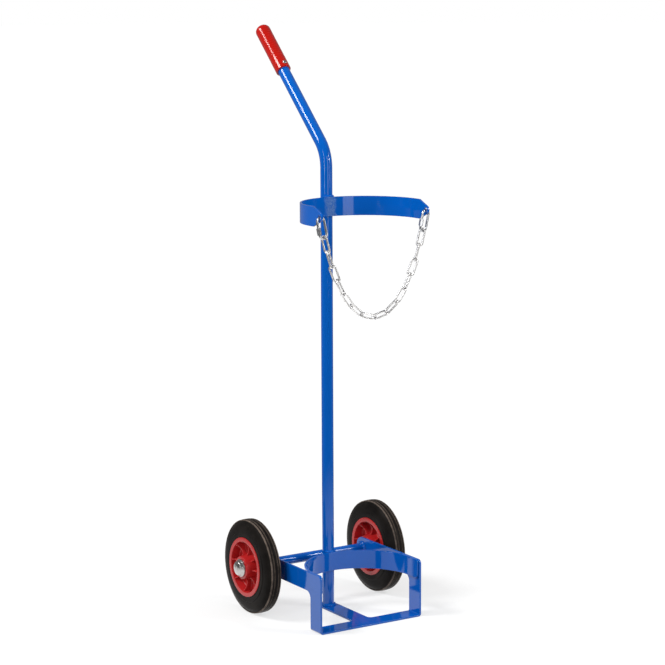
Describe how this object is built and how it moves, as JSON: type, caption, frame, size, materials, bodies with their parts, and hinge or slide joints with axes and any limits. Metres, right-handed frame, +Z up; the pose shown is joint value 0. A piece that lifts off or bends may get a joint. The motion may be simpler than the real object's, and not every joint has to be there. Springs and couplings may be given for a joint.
{
  "type": "gas cylinder trolley",
  "caption": "Two-wheeled trolley for one upright gas cylinder, with a folded base, two collars, a retaining chain and a bent handle.",
  "frame": {"origin": "on the ground, on the axis of the cylinder that the two collars hold", "axes": "+Z up, -Y to the front, where the cylinder goes in, and +X along the axle"},
  "size_m": [0.3972, 0.4532, 1.2235],
  "materials": {
    "blue_paint": "gloss",
    "grip_red": "semi-gloss",
    "rim_red": "satin",
    "tyre": "satin",
    "zinc": "bright zinc plate",
    "chain_steel": "bright zinc plate",
    "cage_plastic": "matte",
    "roller_steel": "ground"
  },
  "bodies": {
    "frame": {"base_frame": "blue_paint", "lower_collar": "blue_paint", "upper_collar": "blue_paint", "upright_tube": "blue_paint", "foot_weld": "blue_paint", "lower_collar_weld": "blue_paint", "upper_collar_weld": "blue_paint", "axle": "blue_paint", "axle_welds": "blue_paint", "hand_grip": "grip_red", "grip_screw": "zinc", "left_inner_washer": "zinc", "left_outer_washer": "zinc", "left_axle_cap": "zinc", "right_inner_washer": "zinc", "right_outer_washer": "zinc", "right_axle_cap": "zinc"},
    "left_wheel": {"left_tyre": "tyre", "left_rim": "rim_red"},
    "right_wheel": {"right_tyre": "tyre", "right_rim": "rim_red"},
    "left_bearing": {"left_roller_cage": "cage_plastic", "left_rollers": "roller_steel"},
    "right_bearing": {"right_roller_cage": "cage_plastic", "right_rollers": "roller_steel"},
    "chain": {"left_quick_link": "zinc", "chain_link_01": "chain_steel", "chain_link_02": "chain_steel", "chain_link_03": "chain_steel", "chain_link_04": "chain_steel", "chain_link_05": "chain_steel", "chain_link_06": "chain_steel", "chain_link_07": "chain_steel", "chain_link_08": "chain_steel", "chain_link_09": "chain_steel", "chain_link_10": "chain_steel", "chain_link_11": "chain_steel", "chain_link_12": "chain_steel", "chain_link_13": "chain_steel", "chain_link_14": "chain_steel", "right_quick_link": "zinc"},
    "left_nut": {"left_link_nut": "zinc"},
    "right_nut": {"right_link_nut": "zinc"}
  },
  "joints": [
    {"name": "left_wheel_spin", "type": "hinge", "parent": "frame", "child": "left_wheel", "pos_m": [-0.1548, 0.185, 0.1], "axis": [1, 0, 0], "continuous": true},
    {"name": "right_wheel_spin", "type": "hinge", "parent": "frame", "child": "right_wheel", "pos_m": [0.1548, 0.185, 0.1], "axis": [1, 0, 0], "continuous": true},
    {"name": "left_bearing_turn", "type": "hinge", "parent": "frame", "child": "left_bearing", "pos_m": [-0.1548, 0.185, 0.1], "axis": [1, 0, 0], "continuous": true},
    {"name": "right_bearing_turn", "type": "hinge", "parent": "frame", "child": "right_bearing", "pos_m": [0.1548, 0.185, 0.1], "axis": [1, 0, 0], "continuous": true},
    {"name": "chain_swing", "type": "hinge", "parent": "frame", "child": "chain", "pos_m": [0, -0.046, 0.856], "axis": [1, 0, 0], "range_deg": [-90, 15]},
    {"name": "left_nut_travel", "type": "slide", "parent": "chain", "child": "left_nut", "axis": [-0.2164, 0, 0.9763], "range_m": [0, 0.009]},
    {"name": "right_nut_travel", "type": "slide", "parent": "chain", "child": "right_nut", "axis": [0.2164, 0, 0.9763], "range_m": [0, 0.009]}
  ],
  "couplings": [
    {"joint": "left_bearing_turn", "follows": "left_wheel_spin", "ratio": 0.61832},
    {"joint": "right_bearing_turn", "follows": "right_wheel_spin", "ratio": 0.61832}
  ]
}
